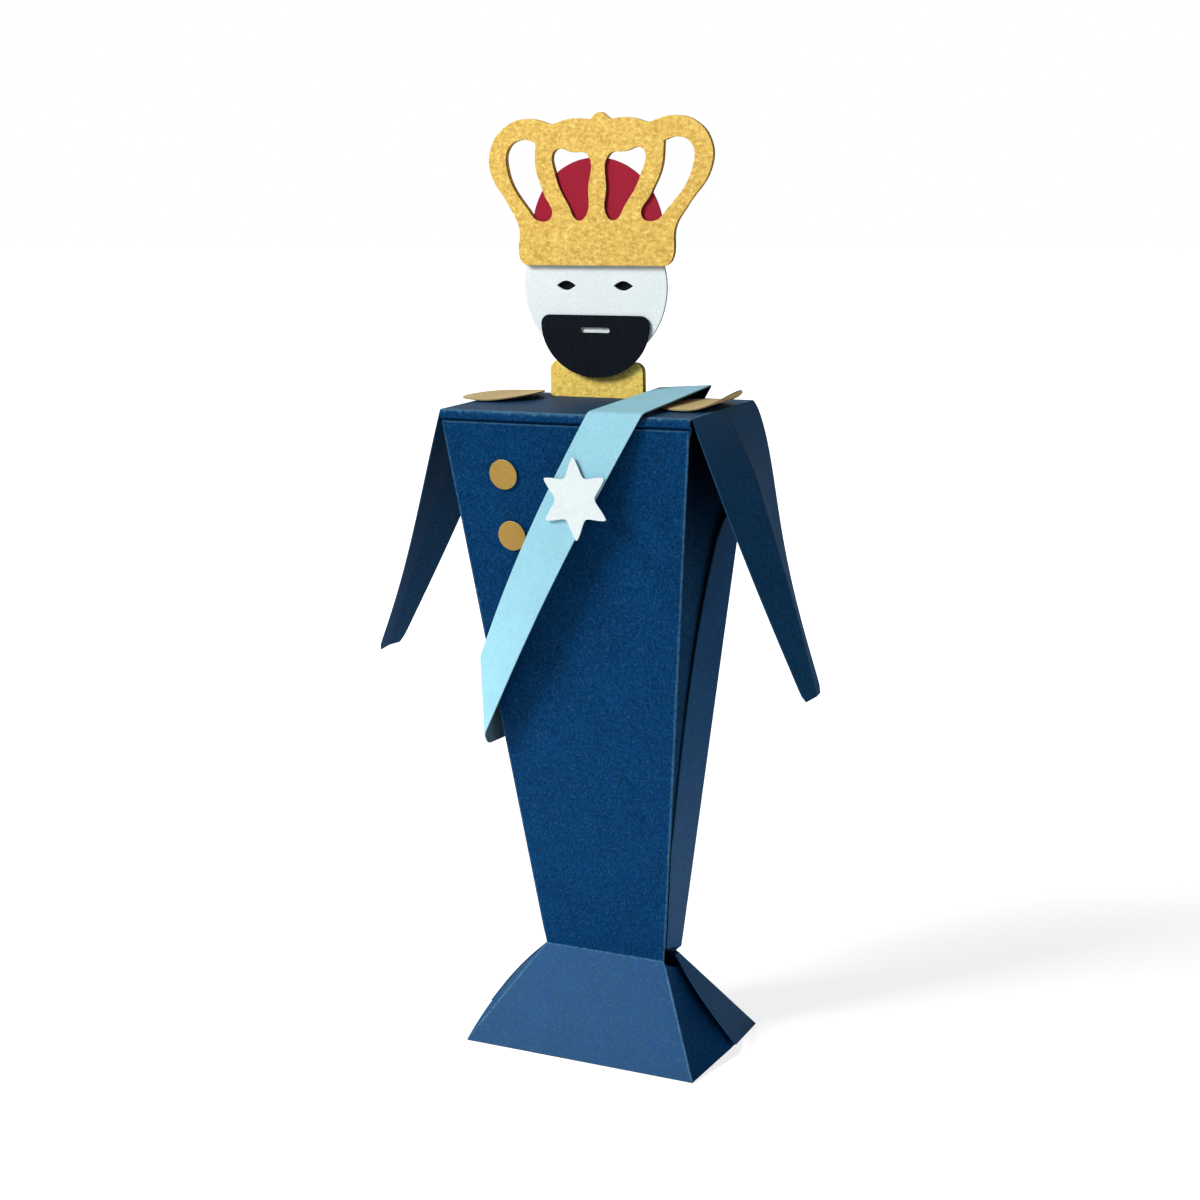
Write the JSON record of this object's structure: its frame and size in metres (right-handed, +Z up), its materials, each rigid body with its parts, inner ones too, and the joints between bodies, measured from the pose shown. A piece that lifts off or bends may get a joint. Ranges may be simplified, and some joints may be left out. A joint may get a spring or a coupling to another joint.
{
  "type": "paper figure",
  "caption": "Standing folded-card doll with a crown, layered head, shoulder plate with fold-hinged arms, sash and flared skirt base.",
  "frame": {"origin": "on the surface the figure stands on, under the middle of its outline", "axes": "+Z up through the head, -Y the way the face looks, +X towards the arm on the viewer's right"},
  "size_m": [0.105, 0.0372, 0.1999],
  "materials": {
    "blue_card": "matt, fine fibre",
    "gold_card": "pearlescent, embossed grain",
    "tan_card": "satin metallic",
    "white_card": "matt",
    "black_card": "matt",
    "red_card": "matt",
    "sky_card": "matt"
  },
  "bodies": {
    "body": {"front_shell": "blue_card", "rear_shell": "blue_card", "yoke_plate": "blue_card", "neck_front": "gold_card", "neck_rear": "gold_card", "face_disc": "white_card", "eye_backing": "black_card", "beard": "black_card", "cap_disc": "red_card", "front_crown": "gold_card", "rear_crown": "gold_card", "left_epaulette": "tan_card", "right_epaulette": "tan_card", "upper_button": "tan_card", "lower_button": "tan_card", "sash": "sky_card", "star": "white_card"},
    "left_arm_body": {"left_arm": "blue_card"},
    "right_arm_body": {"right_arm": "blue_card"}
  },
  "joints": [
    {"name": "left_shoulder_fold", "type": "hinge", "parent": "body", "child": "left_arm_body", "pos_m": [-0.02654, 0, 0.14], "axis": [0, 1, 0], "range_deg": [-17, 50]},
    {"name": "right_shoulder_fold", "type": "hinge", "parent": "body", "child": "right_arm_body", "pos_m": [0.03086, 0, 0.14], "axis": [0, -1, 0], "range_deg": [-12, 55]}
  ]
}
